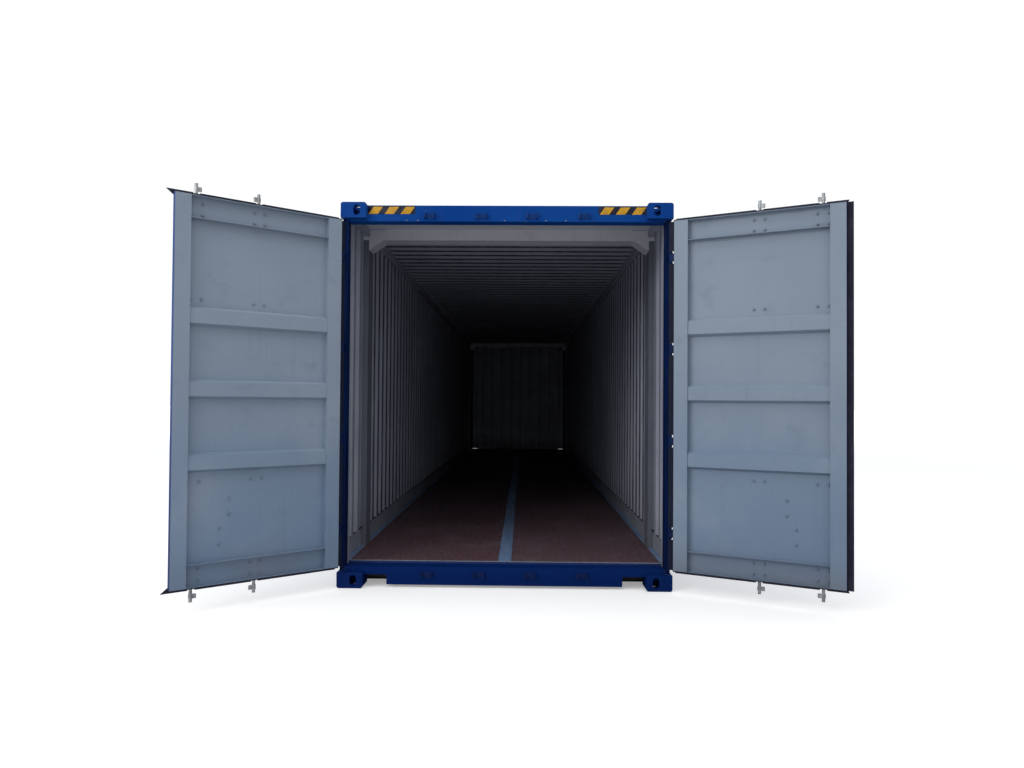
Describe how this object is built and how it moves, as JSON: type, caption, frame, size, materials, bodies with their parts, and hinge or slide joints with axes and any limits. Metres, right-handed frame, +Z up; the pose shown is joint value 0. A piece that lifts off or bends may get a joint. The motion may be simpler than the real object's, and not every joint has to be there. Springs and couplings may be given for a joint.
{
  "type": "shipping container",
  "caption": "Long high-cube steel shipping container with open double doors, lock rods, corrugated walls, plywood floor and corner fittings.",
  "frame": {"origin": "centre of the four end corner apertures on the bottom fittings' lower face, which is the ground plane", "axes": "+X along the container from the doors to the closed front end, +Y to the left seen from behind the doors, +Z up"},
  "size_m": [14.5031, 4.5257, 2.896],
  "materials": {
    "frame_paint": "satin blue paint",
    "casting_paint": "blue paint on cast steel",
    "wall_paint": "satin blue paint",
    "inner_paint": "matt light grey primer",
    "door_paint": "matt pale blue-grey paint",
    "under_paint": "black underseal",
    "floor_steel": "worn grey paint",
    "plywood": "oiled hardwood plywood",
    "galvanised": "hot-dip galvanised",
    "seal_rubber": "matt black"
  },
  "bodies": {
    "container": {"bottom_fittings": "casting_paint", "top_fittings": "casting_paint", "rear_posts": "frame_paint", "front_posts": "frame_paint", "middle_posts": "frame_paint", "door_header": "frame_paint", "door_sill": "frame_paint", "threshold_plate": "floor_steel", "front_top_rail": "frame_paint", "front_bottom_rail": "frame_paint", "top_side_rails": "frame_paint", "bottom_side_rails": "frame_paint", "side_wall_left": "wall_paint", "side_wall_right": "wall_paint", "front_wall": "wall_paint", "roof_panel": "wall_paint", "roof_end_plates": "wall_paint", "middle_frame_beams": "inner_paint", "middle_frame_gussets": "inner_paint", "cross_members": "under_paint", "gooseneck_tunnel": "under_paint", "floor_left": "plywood", "floor_right": "plywood", "floor_centre_strip": "floor_steel", "floor_edge_angles": "floor_steel", "cam_keepers": "frame_paint", "hinge_lugs": "frame_paint"},
    "door_left": {"door_left_frame": "door_paint", "door_left_panel": "door_paint", "door_left_gasket": "seal_rubber", "door_left_hinges": "frame_paint", "door_left_rod_fittings": "galvanised"},
    "lock_rod_left_inner": {"door_left_lock_rod_inner": "galvanised", "door_left_handle_inner": "galvanised"},
    "lock_rod_left_outer": {"door_left_lock_rod_outer": "galvanised", "door_left_handle_outer": "galvanised"},
    "door_right": {"door_right_frame": "door_paint", "door_right_panel": "door_paint", "door_right_gasket": "seal_rubber", "door_right_hinges": "frame_paint", "door_right_rod_fittings": "galvanised"},
    "lock_rod_right_inner": {"door_right_lock_rod_inner": "galvanised", "door_right_handle_inner": "galvanised"},
    "lock_rod_right_outer": {"door_right_lock_rod_outer": "galvanised", "door_right_handle_outer": "galvanised"}
  },
  "joints": [
    {"name": "door_left_hinge", "type": "hinge", "parent": "container", "child": "door_left", "pos_m": [-6.834, 1.234, 0], "axis": [0, 0, -1], "range_deg": [-141, 119]},
    {"name": "lock_rod_left_inner_turn", "type": "hinge", "parent": "door_left", "child": "lock_rod_left_inner", "pos_m": [-7.4973, 2.05311, 1.4575], "axis": [0, 0, -1], "range_deg": [-90, 0]},
    {"name": "lock_rod_left_outer_turn", "type": "hinge", "parent": "door_left", "child": "lock_rod_left_outer", "pos_m": [-7.23614, 1.7306, 1.4575], "axis": [0, 0, 1], "range_deg": [-90, 0]},
    {"name": "door_right_hinge", "type": "hinge", "parent": "container", "child": "door_right", "pos_m": [-6.834, -1.234, 0], "axis": [0, 0, 1], "range_deg": [-153.3, 106.7]},
    {"name": "lock_rod_right_inner_turn", "type": "hinge", "parent": "door_right", "child": "lock_rod_right_inner", "pos_m": [-7.30758, -2.17561, 1.4575], "axis": [0, 0, 1], "range_deg": [-90, 0]},
    {"name": "lock_rod_right_outer_turn", "type": "hinge", "parent": "door_right", "child": "lock_rod_right_outer", "pos_m": [-7.12111, -1.80486, 1.4575], "axis": [0, 0, -1], "range_deg": [-90, 0]}
  ]
}
